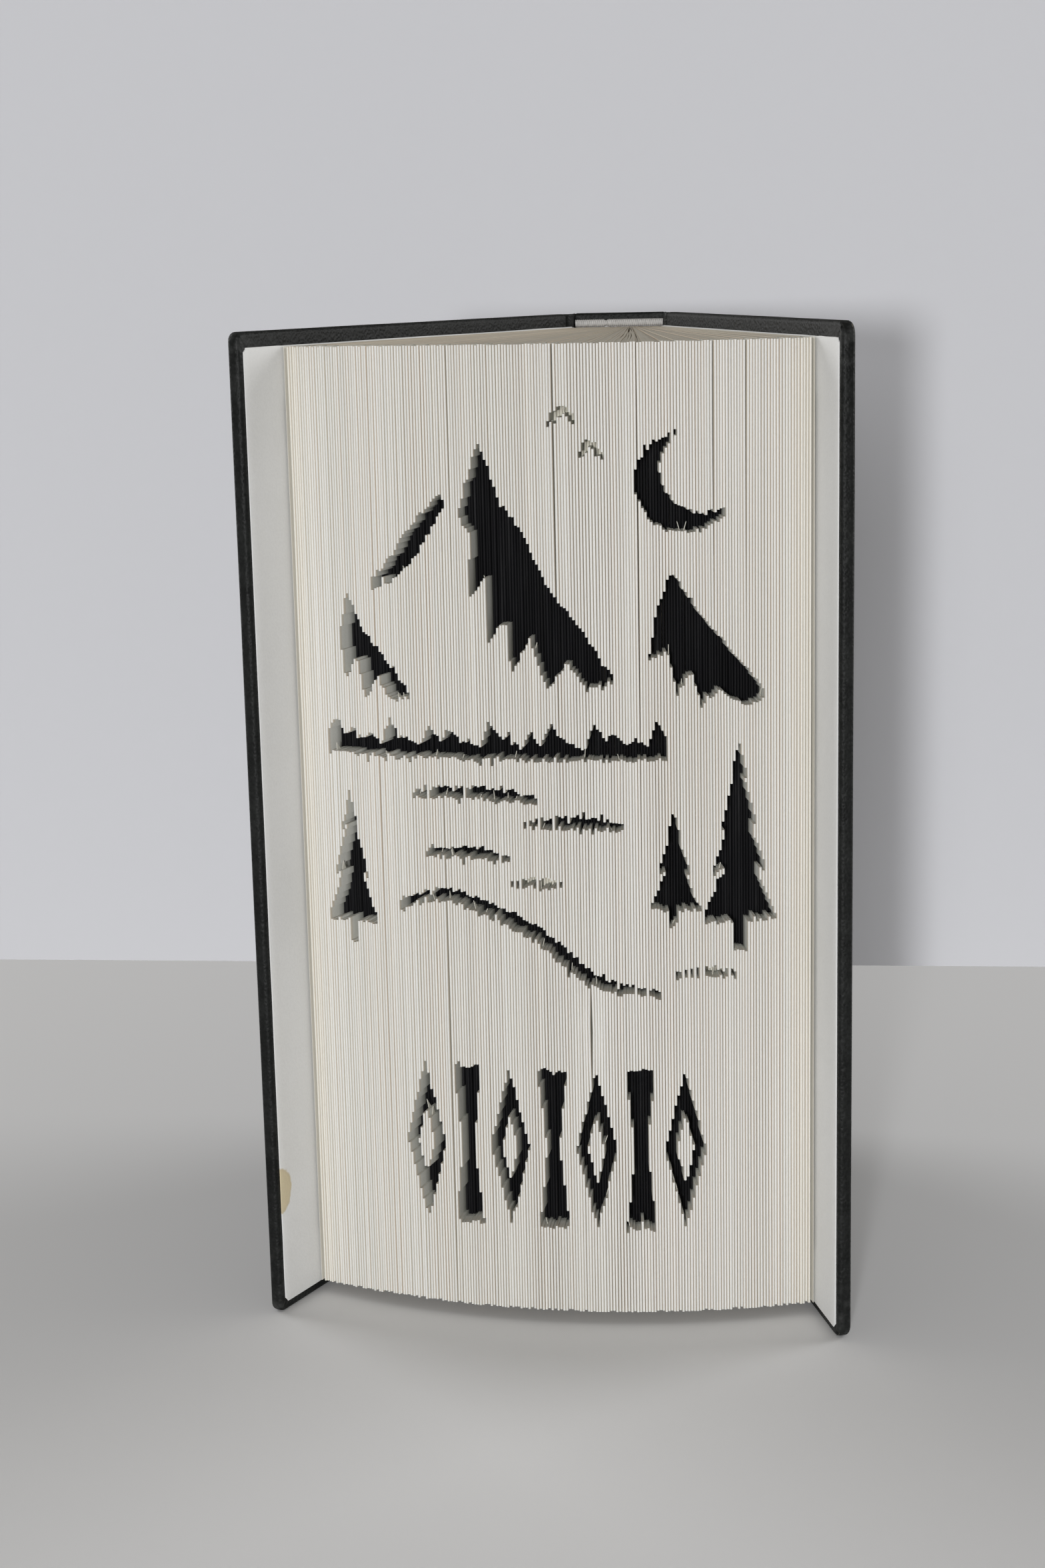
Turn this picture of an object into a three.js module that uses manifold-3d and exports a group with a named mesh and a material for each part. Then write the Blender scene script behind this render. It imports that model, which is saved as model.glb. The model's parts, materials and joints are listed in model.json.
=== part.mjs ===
// A hardcover book stood upright with its covers ajar, so that the pages fan out.
// A picture is cut into the fore edge: inside each cut the leaves are folded back and inked black.
// Millimetres, +Z up. The spine is at the back (+Y) and the fore edge faces -Y.
import * as THREE from "three";
import { mergeVertices } from "three/addons/utils/BufferGeometryUtils.js";
import Module from "manifold-3d";

const wasm = await Module();
wasm.setup();

// Case: boards, spine inlay and the cloth that covers them
const caseHeight = 216;
const coverReach = 143; // from a hinge line to the fore edge of its cover
const openingAngle = THREE.MathUtils.degToRad(20.5); // of each cover from the middle plane
const boardThickness = 2;
const clothThickness = 0.3;
const glueGap = 0.2; // clearance between glued layers
const turnIn = 15; // cloth folded round onto an inner face
const cornerRadius = 2.2; // worn corners of the covers
const hingeSpan = 23.4; // between the two hinge lines
const hingeSetback = 3; // of the hinge lines from the spine face of the pages
const grooveReach = 2.6; // from a hinge line to the back edge of its cover
const hingeSlit = 0.6; // cloth stops this far from a hinge line

// Spine of the case, hollow behind the pages
const inlayWidth = 22.4;
const inlayThickness = 1;
const hollowGap = 0.65; // between the spine linings and the turned-in cloth

// Pages
const tailSquare = 2.5; // height of the pages above the foot of the case
const headSquare = 3.5; // depth of the pages below the head of the case
const shoulderWidth = 22.6;
const shoulderDepth = 1.2;
const neckWidth = 19.6;
const neckDepth = 4;
const leafReach = 128.2; // from a hinge line to the folded edge of the outermost leaf
const foreEdgeBulge = 10.6; // the middle of the fore edge stands this far before its ends
const bundleCount = 60; // ridges of the fore edge
const ridgeDepth = 0.5;
const crestShare = 0.7; // of each ridge's width
const cutDepth = 5.5;
const inkThickness = 0.6;
const shortestCut = 1.4;

// Endpapers, linings and bands
const paperThickness = 0.25;
const paperGap = 0.3; // clearance beside a loose leaf
const fanPlay = 0.15; // spare room between the fan and the covers
const pastedownThickness = 0.2;
const pastedownSquare = 1.5; // cloth left bare along the fore edge
const pastedownHeadSquare = 3.2;
const pastedownTailSquare = 2.2;
const mullThickness = 0.3;
const mullFlapReach = 27;
const mullFlapThickness = 0.2;
const linerThickness = 0.25;
const liningMargin = 12; // linings stop short of head and tail
const bandRadius = 0.95;
const bandTapeHeight = 12;
const bandTapeThickness = 0.25;
const bandTapeGap = 0.5; // between a band's tape and the linings

const colours = {
  cloth: { color: 0x1d1f1e, roughness: 0.75 },
  board: { color: 0x8a8172, roughness: 0.95 },
  paper: { color: 0xded9cc, roughness: 0.9 },
  endpaper: { color: 0xd3cfc8, roughness: 0.85 },
  ink: { color: 0x141516, roughness: 0.6 },
  band: { color: 0xcfcbc6, roughness: 0.8 },
  mull: { color: 0xc9c1ae, roughness: 0.95 },
  liner: { color: 0xa88f68, roughness: 0.9 },
};

// Worked-out sizes
const coverThickness = boardThickness + 2 * (clothThickness + glueGap);
const clothWall = clothThickness + glueGap;
const pastedownFace = glueGap + pastedownThickness; // in front of the cloth's inner face
const leafFoot = tailSquare;
const leafHead = caseHeight - headSquare;
const leafHeight = leafHead - leafFoot;
const linerFace = mullThickness + linerThickness;
const spineInner = linerFace + hollowGap;
const inlayFront = spineInner + clothThickness;
const inlayBack = inlayFront + inlayThickness;
const spineBack = inlayBack + clothThickness;
const hinge = new THREE.Vector2(hingeSpan / 2, -hingeSetback);
const alongCover = new THREE.Vector2(Math.sin(openingAngle), -Math.cos(openingAngle));
const outOfCover = new THREE.Vector2(Math.cos(openingAngle), Math.sin(openingAngle));

// A point of the right-hand side in plan, from its distance along the cover and out of it.
function besideCover(along, out) {
  return hinge.clone().addScaledVector(alongCover, along).addScaledVector(outOfCover, out);
}

// The fore edge is an arc through the ends of the two outermost leaves and the bulge between them.
const flyleafRoom = pastedownFace + 2 * paperGap + paperThickness;
const fanEnd = besideCover(leafReach, -flyleafRoom - fanPlay);
const fanRadius = (fanEnd.x ** 2 + foreEdgeBulge ** 2) / (2 * foreEdgeBulge);
const fanCentre = fanEnd.y - foreEdgeBulge + fanRadius;
const halfFan = Math.asin(fanEnd.x / fanRadius);
const bundleAngle = (2 * halfFan) / bundleCount;

function foreEdgePoint(angle, depth) {
  const r = fanRadius - depth;
  return new THREE.Vector2(r * Math.sin(angle), fanCentre - r * Math.cos(angle));
}

function bundleEdge(i) {
  return -halfFan + i * bundleAngle;
}

// Solids

function solidOf(geometry) {
  const bare = geometry.clone();
  bare.deleteAttribute("normal");
  bare.deleteAttribute("uv");
  const merged = mergeVertices(bare, 1e-5);
  return new wasm.Manifold(
    new wasm.Mesh({
      numProp: 3,
      vertProperties: merged.attributes.position.array,
      triVerts: new Uint32Array(merged.index.array),
    }),
  );
}

function geometryOf(solid) {
  const { vertProperties, triVerts } = solid.getMesh();
  return new THREE.BufferGeometry()
    .setAttribute("position", new THREE.BufferAttribute(vertProperties, 3))
    .setIndex(new THREE.BufferAttribute(triVerts, 1));
}

function joined(solids) {
  return solids.reduce((all, next) => all.add(next));
}

// An outline in plan, pushed up from one height to another.
function upright(outline, low, high) {
  const depth = high - low;
  return new THREE.ExtrudeGeometry(new THREE.Shape(outline), {
    depth,
    bevelEnabled: false,
    curveSegments: 6,
  }).translate(0, 0, low);
}

function box([x0, x1], [y0, y1], [z0, z1]) {
  return new THREE.BoxGeometry(x1 - x0, y1 - y0, z1 - z0).translate(
    (x0 + x1) / 2,
    (y0 + y1) / 2,
    (z0 + z1) / 2,
  );
}

// A panel of the cover, thick in y, with rounded corners at the fore edge.
function panel([x0, x1], [y0, y1], [z0, z1], radius) {
  const shape = new THREE.Shape()
    .moveTo(x0, z0)
    .lineTo(x1 - radius, z0)
    .absarc(x1 - radius, z0 + radius, radius, -Math.PI / 2, 0, false)
    .lineTo(x1, z1 - radius)
    .absarc(x1 - radius, z1 - radius, radius, 0, Math.PI / 2, false)
    .lineTo(x0, z1);
  return new THREE.ExtrudeGeometry(shape, {
    depth: y1 - y0,
    bevelEnabled: false,
    curveSegments: 4,
  })
    .rotateX(Math.PI / 2)
    .translate(0, y1, 0);
}

// The closed outline of a line of some width, which may change along it.
function ribbon(points, widthAt) {
  const sides = [[], []];
  points.forEach((point, i) => {
    const before = points[Math.max(i - 1, 0)];
    const after = points[Math.min(i + 1, points.length - 1)];
    const into = point.clone().sub(before).normalize();
    const outOf = after.clone().sub(point).normalize();
    const along = into.clone().add(outOf).normalize();
    const mitre = Math.max(along.dot(into), along.dot(outOf));
    const half = widthAt(i / (points.length - 1)) / 2 / mitre;
    sides[0].push(new THREE.Vector2(point.x - along.y * half, point.y + along.x * half));
    sides[1].unshift(new THREE.Vector2(point.x + along.y * half, point.y - along.x * half));
  });
  return [...sides[0], ...sides[1]];
}

function vectors(pairs) {
  return pairs.map(([x, y]) => new THREE.Vector2(x, y));
}

// Picture: outlines over the fore edge, in steps of the drawing right of its middle and above the
// foot of the book
const drawingStep = 1;

function disc(u, z, radius, from = 0, to = 2 * Math.PI, steps = 24) {
  return Array.from({ length: steps + 1 }, (_, i) => {
    const turn = from + ((to - from) * i) / steps;
    return new THREE.Vector2(u + radius * Math.cos(turn), z + radius * Math.sin(turn));
  });
}

// A crescent: the outer arc, and back along the arc of the circle that bites into it.
function crescent(u, z, radius, biteRadius, biteOffset) {
  const half = Math.acos((radius ** 2 + biteOffset ** 2 - biteRadius ** 2) / (2 * radius * biteOffset));
  const biteHalf = Math.acos((biteRadius ** 2 + biteOffset ** 2 - radius ** 2) / (2 * biteRadius * biteOffset));
  const outer = disc(0, 0, radius, half, 2 * Math.PI - half);
  const inner = disc(biteOffset, 0, biteRadius, Math.PI + biteHalf, Math.PI - biteHalf);
  const tilt = Math.PI / 5;
  return [...outer, ...inner].map((p) => p.rotateAround(new THREE.Vector2(), tilt).add(new THREE.Vector2(u, z)));
}

// A line through a few points, thick in the middle and thin at its ends.
function brushStroke(points, width) {
  const line = new THREE.SplineCurve(vectors(points)).getSpacedPoints(20);
  return ribbon(line, (t) => width * (0.45 + 0.55 * Math.sin(Math.PI * t)));
}

// A fir tree of stacked skirts, each wider than the one above it.
function firTree(u, foot, height, width, skirts) {
  const right = [[0, 1]];
  for (let i = 1; i <= skirts; i++) {
    const share = i / skirts;
    right.push([0.5 * share, 1 - 0.86 * share]);
    if (i < skirts) right.push([0.26 * share, 1 - 0.86 * share + 0.05]);
  }
  right.push([0.09, 0.14], [0.09, 0]);
  const left = right.slice(1).reverse().map(([x, y]) => [-x, y]);
  return vectors([...right, ...left].map(([x, y]) => [u + x * width, foot + y * height]));
}

// A wood seen from afar: a level foot and a top of small points of changing height.
function farWood(from, to, foot, height, trees) {
  const pitch = (to - from) / trees;
  const top = [];
  for (let i = 0; i < trees; i++) {
    const tall = height * (0.72 + 0.28 * Math.sin(2.4 * i + 1));
    top.push([from + (i + 0.5) * pitch, foot + tall], [from + (i + 1) * pitch, foot + tall * 0.55]);
  }
  return vectors([[from, foot], [from, foot + height * 0.4], ...top, [to, foot]]);
}

function ripple(u, z, halfLength, width) {
  return brushStroke([[u - halfLength, z], [u, z + width * 0.3], [u + halfLength, z - width * 0.2]], width);
}

// A tall diamond, left white in its middle.
function lozenge(u, z, width, height, share) {
  const points = [[0, height / 2], [width / 2, 0], [0, -height / 2], [-width / 2, 0]];
  return [1, share].map((k) => vectors(points.map(([x, y]) => [u + x * k, z + y * k])));
}

// Two triangles that meet at their points, like an hourglass, with a waist.
function hourglass(u, z, width, height, waist) {
  return vectors([[1, 1], [waist, 0], [1, -1], [-1, -1], [-waist, 0], [-1, 1]].map(([x, y]) => [
    u + (x * width) / 2,
    z + (y * height) / 2,
  ]));
}

const borderHeight = 36;
const borderMiddle = 40;
const borderPitch = 9.6;
const borderMotifs = 7;

function borderFields() {
  return Array.from({ length: borderMotifs }, (_, i) => {
    const u = (i - (borderMotifs - 1) / 2) * borderPitch;
    const odd = i % 2 === 1;
    const outlines = odd
      ? [hourglass(u, borderMiddle, 6.4, borderHeight, 0.42)]
      : lozenge(u, borderMiddle, 9, borderHeight, 0.42);
    return { name: `black_border_${i + 1}`, outlines };
  });
}

const blackFields = [
  { name: "black_moon", outlines: [crescent(30, 184, 10.5, 9, 4.6)] },
  {
    name: "black_high_peak",
    outlines: [
      vectors([
        [-13, 193], [-9, 181], [-4, 174], [1, 163], [8, 154], [15, 143], [9, 141], [5, 147], [1, 141],
        [-3, 152], [-7, 144], [-8, 156], [-12, 150], [-12, 165], [-16, 160], [-15, 174], [-18, 177],
      ]),
    ],
  },
  { name: "black_high_slope", outlines: [brushStroke([[-21, 181], [-26, 175], [-31, 168], [-38, 162]], 4.4)] },
  {
    name: "black_low_peak",
    outlines: [
      vectors([
        [27, 166], [31, 159], [36, 153], [41, 147], [48, 139], [42, 137], [37, 141], [33, 137],
        [31, 145], [28, 140], [26, 149], [22, 147], [24, 158],
      ]),
    ],
  },
  {
    name: "black_west_peak",
    outlines: [
      vectors([
        [-44, 161], [-40, 153], [-35, 147], [-29, 139], [-34, 138], [-37, 143], [-40, 138], [-42, 147],
        [-45, 142], [-46, 152],
      ]),
    ],
  },
  { name: "black_far_wood", outlines: [farWood(-50, 26, 126, 8.5, 17)] },
  { name: "black_east_fir", outlines: [firTree(41, 84, 46, 17, 4)] },
  { name: "black_small_fir", outlines: [firTree(27, 90, 25, 11, 3)] },
  { name: "black_west_fir", outlines: [firTree(-45, 84, 34, 13, 3)] },
  { name: "black_ripple_1", outlines: [ripple(-16, 118, 14, 2.6)] },
  { name: "black_ripple_2", outlines: [ripple(6, 112, 11, 2.6)] },
  { name: "black_ripple_3", outlines: [ripple(-18, 105, 10, 2.4)] },
  { name: "black_shore", outlines: [brushStroke([[-34, 93], [-22, 96], [-4, 89], [10, 78], [24, 75]], 3.4)] },
  ...borderFields(),
];

// Small cuts that are left the colour of the paper
const plainCuts = [
  brushStroke([[2, 196], [5, 199], [8, 196]], 1.8),
  brushStroke([[8, 189], [10.5, 192], [13, 189]], 1.8),
  ripple(-2, 99, 6, 2),
  ripple(34, 79, 7, 2),
];

// The stretches of the upright line at u that lie inside the outlines, as [low, high].
function stretchesInside(outlines, u) {
  const crossings = [];
  for (const outline of outlines) {
    outline.forEach((a, i) => {
      const b = outline[(i + 1) % outline.length];
      if (a.x <= u !== b.x <= u) crossings.push(a.y + ((b.y - a.y) * (u - a.x)) / (b.x - a.x));
    });
  }
  crossings.sort((a, b) => a - b);
  const stretches = [];
  for (let i = 0; i < crossings.length; i += 2) stretches.push([crossings[i], crossings[i + 1]]);
  return stretches.filter(([low, high]) => high - low >= shortestCut);
}

function toSize(outline) {
  return outline.map((point) => point.clone().multiplyScalar(drawingStep));
}

// Each bundle of leaves is cut by itself, so a field of the picture is a row of upright runs.
function runsOf(outlines) {
  const drawn = outlines.map(toSize);
  const runs = [];
  for (let bundle = 0; bundle < bundleCount; bundle++) {
    const u = fanRadius * (bundleEdge(bundle) + bundleAngle / 2);
    for (const [low, high] of stretchesInside(drawn, u)) runs.push({ bundle, low, high });
  }
  return runs;
}

function wedge({ bundle, low, high }, front, back) {
  const [from, to] = [bundleEdge(bundle), bundleEdge(bundle + 1)];
  const corners = [
    foreEdgePoint(from, front),
    foreEdgePoint(to, front),
    foreEdgePoint(to, back),
    foreEdgePoint(from, back),
  ];
  return solidOf(upright(corners, low, high));
}

// Pages

function pageOutline() {
  const outline = [];
  const crest = (bundleAngle * crestShare) / 2;
  for (let i = 0; i < bundleCount; i++) {
    const middle = bundleEdge(i) + bundleAngle / 2;
    if (i > 0) outline.push(foreEdgePoint(bundleEdge(i), ridgeDepth));
    outline.push(foreEdgePoint(middle - crest, 0), foreEdgePoint(middle + crest, 0));
  }
  const back = vectors([
    [neckWidth / 2, -neckDepth],
    [shoulderWidth / 2, -shoulderDepth],
    [shoulderWidth / 2, 0],
  ]);
  const mirrored = back.map((p) => new THREE.Vector2(-p.x, p.y)).reverse();
  return [...outline, ...back, ...mirrored];
}

function pageBlock() {
  const outlines = [...blackFields.map((field) => field.outlines), ...plainCuts.map((cut) => [cut])];
  const floor = cutDepth + inkThickness + glueGap;
  const cuts = outlines.flatMap(runsOf).map((run) => wedge(run, -1, floor));
  return geometryOf(solidOf(upright(pageOutline(), leafFoot, leafHead)).subtract(joined(cuts)));
}

// The inked folds at the bottom of one field's cuts.
function inkedFolds(outlines) {
  const strips = runsOf(outlines).map(({ bundle, low, high }) =>
    wedge({ bundle, low: low + glueGap, high: high - glueGap }, cutDepth, cutDepth + inkThickness),
  );
  return geometryOf(joined(strips));
}

function flyleaf() {
  const middle = pastedownFace + paperGap + paperThickness / 2;
  const line = [besideCover(grooveReach, -middle - fanPlay), besideCover(leafReach, -middle)];
  return upright(ribbon(line, () => paperThickness), leafFoot, leafHead);
}

// Spine linings and bands

function lining(front, thickness) {
  const half = shoulderWidth / 2;
  return box([-half, half], [front, front + thickness], [leafFoot + liningMargin, leafHead - liningMargin]);
}

// A bead on the end of the pages with a tape glued down behind it, for the head (1) or the tail (-1).
function band(end) {
  const half = shoulderWidth / 2;
  const edge = end > 0 ? leafHead : leafFoot;
  const bead = new THREE.CylinderGeometry(bandRadius, bandRadius, 2 * half, 12)
    .rotateZ(Math.PI / 2)
    .translate(0, bandTapeThickness - bandRadius, edge + end * bandRadius);
  const heights = [edge - end * (bandTapeHeight - bandTapeGap), edge + end * bandRadius];
  const tape = box([-half, half], [0, bandTapeThickness], heights.sort((a, b) => a - b));
  return geometryOf(solidOf(bead).add(solidOf(tape)));
}

// Case

function spineInlay() {
  const half = inlayWidth / 2;
  return box([-half, half], [inlayFront, inlayBack], [clothThickness, caseHeight - clothThickness]);
}

function spineCloth() {
  const half = inlayWidth / 2;
  const side = Math.max(half, shoulderWidth / 2 + paperGap) + clothThickness / 2;
  const back = inlayBack + clothThickness / 2;
  const slitEnd = besideCover(-grooveReach / 3, grooveReach / 8);
  const right = [
    slitEnd,
    new THREE.Vector2(side, slitEnd.y + 1.1),
    new THREE.Vector2(side, back - clothThickness),
    new THREE.Vector2(side - clothThickness, back),
  ];
  const left = right.map((p) => new THREE.Vector2(-p.x, p.y)).reverse();
  const sheet = upright(ribbon([...right, ...left], () => clothThickness), 0, caseHeight);
  const ends = [
    [0, clothThickness, turnIn],
    [caseHeight, caseHeight - clothThickness, caseHeight - turnIn],
  ].flatMap(([edge, wall, reach]) => [
    box([-half, half], [spineInner, spineBack - clothThickness / 2], [Math.min(edge, wall), Math.max(edge, wall)]),
    box([-half, half], [spineInner, inlayFront], [Math.min(edge, reach), Math.max(edge, reach)]),
  ]);
  return geometryOf(joined([sheet, ...ends].map(solidOf)));
}

// A cover lies along x from its hinge line, with its outer face towards +y.
function coverBoard() {
  return panel(
    [grooveReach + clothWall, coverReach - clothWall],
    [clothWall, coverThickness - clothWall],
    [clothWall, caseHeight - clothWall],
    cornerRadius - clothWall,
  );
}

function coverCloth() {
  const outside = panel([grooveReach, coverReach], [0, coverThickness], [0, caseHeight], cornerRadius);
  const groove = box([hingeSlit, grooveReach + clothThickness], [0, clothThickness], [0, caseHeight]);
  const inside = panel(
    [grooveReach + clothThickness, coverReach - clothThickness],
    [clothThickness, coverThickness - clothThickness],
    [clothThickness, caseHeight - clothThickness],
    cornerRadius - clothThickness,
  );
  const window = box(
    [grooveReach + clothThickness, coverReach - turnIn],
    [-clothThickness, coverThickness / 2],
    [turnIn, caseHeight - turnIn],
  );
  const shell = solidOf(outside).subtract(solidOf(inside)).subtract(solidOf(window));
  return geometryOf(shell.add(solidOf(groove)));
}

function pastedown() {
  return box(
    [hingeSlit, coverReach - pastedownSquare],
    [-pastedownFace, -glueGap],
    [pastedownTailSquare, caseHeight - pastedownHeadSquare],
  );
}

function mullFlap() {
  return box(
    [grooveReach + clothWall, mullFlapReach],
    [clothWall - glueGap - mullFlapThickness, clothWall - glueGap],
    [turnIn + paperGap, caseHeight - turnIn - paperGap],
  );
}

// The whole book

function piece(name, geometry, colour) {
  const mesh = new THREE.Mesh(geometry, new THREE.MeshStandardMaterial({ ...colour, metalness: 0 }));
  mesh.name = name;
  return mesh;
}

// One side of the book, made as the right-hand one.
function bookSide(name) {
  const cover = new THREE.Group();
  cover.position.set(hinge.x, hinge.y, 0);
  cover.rotation.z = openingAngle - Math.PI / 2;
  cover.add(
    piece(`${name}_board`, coverBoard(), colours.board),
    piece(`${name}_cover_cloth`, coverCloth(), colours.cloth),
    piece(`${name}_pastedown`, pastedown(), colours.endpaper),
    piece(`${name}_mull_flap`, mullFlap(), colours.mull),
  );
  const side = new THREE.Group();
  side.add(cover, piece(`${name}_flyleaf`, flyleaf(), colours.endpaper));
  return side;
}

const headTape = linerFace;
const headband = piece("headband", band(1), colours.band);
const tailband = piece("tailband", band(-1), colours.band);
headband.position.y = headTape;
tailband.position.y = headTape;

const book = new THREE.Group();
book.add(
  piece("page_block", pageBlock(), colours.paper),
  ...blackFields.map(({ name, outlines }) => piece(name, inkedFolds(outlines), colours.ink)),
  piece("spine_mull", lining(0, mullThickness), colours.mull),
  piece("spine_liner", lining(mullThickness, linerThickness), colours.liner),
  headband,
  tailband,
  piece("spine_inlay", spineInlay(), colours.board),
  piece("spine_cloth", spineCloth(), colours.cloth),
);
const front = bookSide("front");
front.scale.x = -1;
book.add(front, bookSide("back"));

// The origin is the middle of the footprint, on the surface that the book stands on.
const extent = new THREE.Box3().setFromObject(book);
book.position.y = -(extent.min.y + extent.max.y) / 2;

export default book;
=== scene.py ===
"""A hardcover book standing with its covers ajar, and a picture cut into its fanned pages.

Sizes are in millimetres in the book's own plan: x to the right, y back from the spine face
of the pages, z up from the surface that the book stands on. to_row() turns them into metres.
"""

import json
import math
import random

import bmesh
import bpy
from mathutils import Matrix, Vector, noise


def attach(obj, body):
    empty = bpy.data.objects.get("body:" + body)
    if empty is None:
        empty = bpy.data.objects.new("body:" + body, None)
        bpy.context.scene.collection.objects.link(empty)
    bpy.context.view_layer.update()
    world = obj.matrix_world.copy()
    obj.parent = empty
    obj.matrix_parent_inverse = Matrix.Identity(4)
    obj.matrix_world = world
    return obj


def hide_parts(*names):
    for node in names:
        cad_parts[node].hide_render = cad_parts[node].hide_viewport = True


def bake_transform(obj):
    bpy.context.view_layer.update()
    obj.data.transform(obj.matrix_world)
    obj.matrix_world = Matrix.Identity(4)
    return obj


MM = 0.001
SIDES = ((-1, "front"), (1, "back"))  # the side of each cover along x, and its name

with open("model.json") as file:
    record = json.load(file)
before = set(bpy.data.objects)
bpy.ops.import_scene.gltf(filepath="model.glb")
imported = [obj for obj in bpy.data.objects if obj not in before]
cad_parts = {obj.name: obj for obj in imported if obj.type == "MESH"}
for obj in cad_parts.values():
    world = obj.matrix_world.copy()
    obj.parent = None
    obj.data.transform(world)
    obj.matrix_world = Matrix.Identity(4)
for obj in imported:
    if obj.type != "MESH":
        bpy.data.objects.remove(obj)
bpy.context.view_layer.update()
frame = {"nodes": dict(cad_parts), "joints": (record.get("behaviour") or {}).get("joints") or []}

# Sizes shared with the solids
HALF_ANGLE = math.radians(20.5)
CASE_HEIGHT = 216
COVER_REACH = 143
COVER_THICKNESS = 3
GROOVE_REACH = 2.6
HINGE_HALF = 11.7
HINGE_SETBACK = 3
LEAF_REACH = 128.2
FOOT = 2.5
HEAD = 212.5
SHOULDER_HALF = 11.3
NECK_HALF = 9.8
NECK_DEPTH = 4
FORE_EDGE_BULGE = 10.6
CUT_DEPTH = 5.5
SPINE_INNER = 1.2
SPINE_BACK = 2.8
SPINE_HALF = 11.9
BAND_RADIUS = 0.95
END_LEAF_OUT = -1.4
PASTEDOWN_FORE = COVER_REACH - 1.5
PASTEDOWN_FOOT = 2.2
PASTEDOWN_HEAD = CASE_HEIGHT - 3.2
FLYLEAF_OUT = -0.95
FLYLEAF_THICKNESS = 0.15

# The leaves
LEAF_COUNT = 180
FOLD_DEPTH = 6.6  # the folded edge of a leaf is modelled to this depth
PAPER_FILL = 0.97
BACK_SHARE = 0.94  # of its pitch, that a leaf takes up behind its folded edge
FOLD_FILL = (0.91, 0.98)
# Tints of the walls of a cut: the plain paper tone near the front, and painted shade darkening towards
# the back, deep in the cut
PALE_WALL = (1.0, 1.0, 0.97)
PAINTED_SHADE_DEEP_WALL = (0.34, 0.35, 0.31)
FOLD_OVERLAP = 0.05  # of the folded edge and the leaf behind it
CUT_OVERLAP = 0.02  # of the bottom of a cut and the paper above and below it
LEVEL_STEP = 9
SHORTEST_CUT = 1.2
SHORTEST_BRIDGE = 0.7  # of paper left between two cuts

ALONG = Vector((math.sin(HALF_ANGLE), -math.cos(HALF_ANGLE)))
OUT = Vector((math.cos(HALF_ANGLE), math.sin(HALF_ANGLE)))
HINGE = Vector((HINGE_HALF, -HINGE_SETBACK))

# The covers turn about lines this far outward of the hinge lines of the cloth
joint_at = {joint["name"]: joint["pos_m"] for joint in frame["joints"]}
AXIS_OUT = 2.2
ROW_SHIFT = joint_at["back_cover_hinge"][1] / MM - (HINGE + OUT * AXIS_OUT).y


def to_row(x, y, z):
    return Vector((x * MM, (y + ROW_SHIFT) * MM, z * MM))


def beside_cover(along, out, side=1):
    """A point in plan, from its distance along a cover and out of its inner face."""
    point = HINGE + ALONG * along + OUT * out
    return Vector((point.x * side, point.y))


FAN_END = beside_cover(LEAF_REACH, END_LEAF_OUT)
FAN_RADIUS = (FAN_END.x**2 + FORE_EDGE_BULGE**2) / (2 * FORE_EDGE_BULGE)
FAN_CENTRE = FAN_END.y - FORE_EDGE_BULGE + FAN_RADIUS
HALF_FAN = math.asin(FAN_END.x / FAN_RADIUS)


# Meshes


class Builder:
    """Gathers faces with a tint at each corner, and makes one object of them."""

    def __init__(self):
        self.points = []
        self.tints = []
        self.faces = []
        self.face_tints = []

    def add(self, points, tint=(1, 1, 1)):
        first = len(self.points)
        self.points += points
        self.tints += tint if isinstance(tint, list) else [tint] * len(points)
        return first

    def face(self, corners, tint=None):
        self.faces.append(corners)
        self.face_tints.append(tint)

    def stack(self, rings, tints, first_cap=None, last_cap=None):
        """Walls between rings of as many points each, and a cap on the first and last."""
        count = len(rings[0])
        starts = [self.add(ring, tint) for ring, tint in zip(rings, tints)]
        for low, high in zip(starts, starts[1:]):
            for i in range(count):
                j = (i + 1) % count
                self.face([low + i, low + j, high + j, high + i])
        self.face([starts[0] + i for i in reversed(range(count))], first_cap)
        self.face([starts[-1] + i for i in range(count)], last_cap)

    def finish(self, name, material, mirrored=False):
        mesh = bpy.data.meshes.new(name)
        faces = [face[::-1] for face in self.faces] if mirrored else self.faces
        mesh.from_pydata([to_row(*point) for point in self.points], [], faces)
        layer = mesh.color_attributes.new("tint", "FLOAT_COLOR", "CORNER")
        colours = []
        for face, tint in zip(faces, self.face_tints):
            for corner in face:
                colours += [*(tint or self.tints[corner]), 1]
        layer.data.foreach_set("color", colours)
        mesh.materials.append(material)
        obj = bpy.data.objects.new(name, mesh)
        bpy.context.scene.collection.objects.link(obj)
        return obj


def face_outward(obj):
    """Turns every face of a closed mesh outward."""
    bm = bmesh.new()
    bm.from_mesh(obj.data)
    bmesh.ops.recalc_face_normals(bm, faces=bm.faces)
    bm.to_mesh(obj.data)
    bm.free()


def round_edges_smoothly(obj, angle):
    """Shades gentle bends smooth and leaves sharper edges crisp."""
    mesh = obj.data
    mesh.polygons.foreach_set("use_smooth", [True] * len(mesh.polygons))
    mesh.set_sharp_from_angle(angle=math.radians(angle))


def catmull_rom(points, steps):
    """A smooth line through the points, in a number of steps between each two."""
    ends = [points[0] * 2 - points[1], *points, points[-1] * 2 - points[-2]]
    line = []
    for p0, p1, p2, p3 in zip(ends, ends[1:], ends[2:], ends[3:]):
        for k in range(steps):
            t = k / steps
            line.append(
                0.5 * (2 * p1 + (p2 - p0) * t + (2 * p0 - 5 * p1 + 4 * p2 - p3) * t**2
                       + (3 * p1 - p0 - 3 * p2 + p3) * t**3)
            )
    return [*line, points[-1]]


def ribbon(points, width_at):
    """The closed outline of a line of some width, which may change along it."""
    left, right = [], []
    last = len(points) - 1
    for i, point in enumerate(points):
        along = (points[min(i + 1, last)] - points[max(i - 1, 0)]).normalized()
        aside = Vector((-along.y, along.x)) * width_at(i / last) / 2
        left.append(point + aside)
        right.append(point - aside)
    return left + right[::-1]


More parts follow.
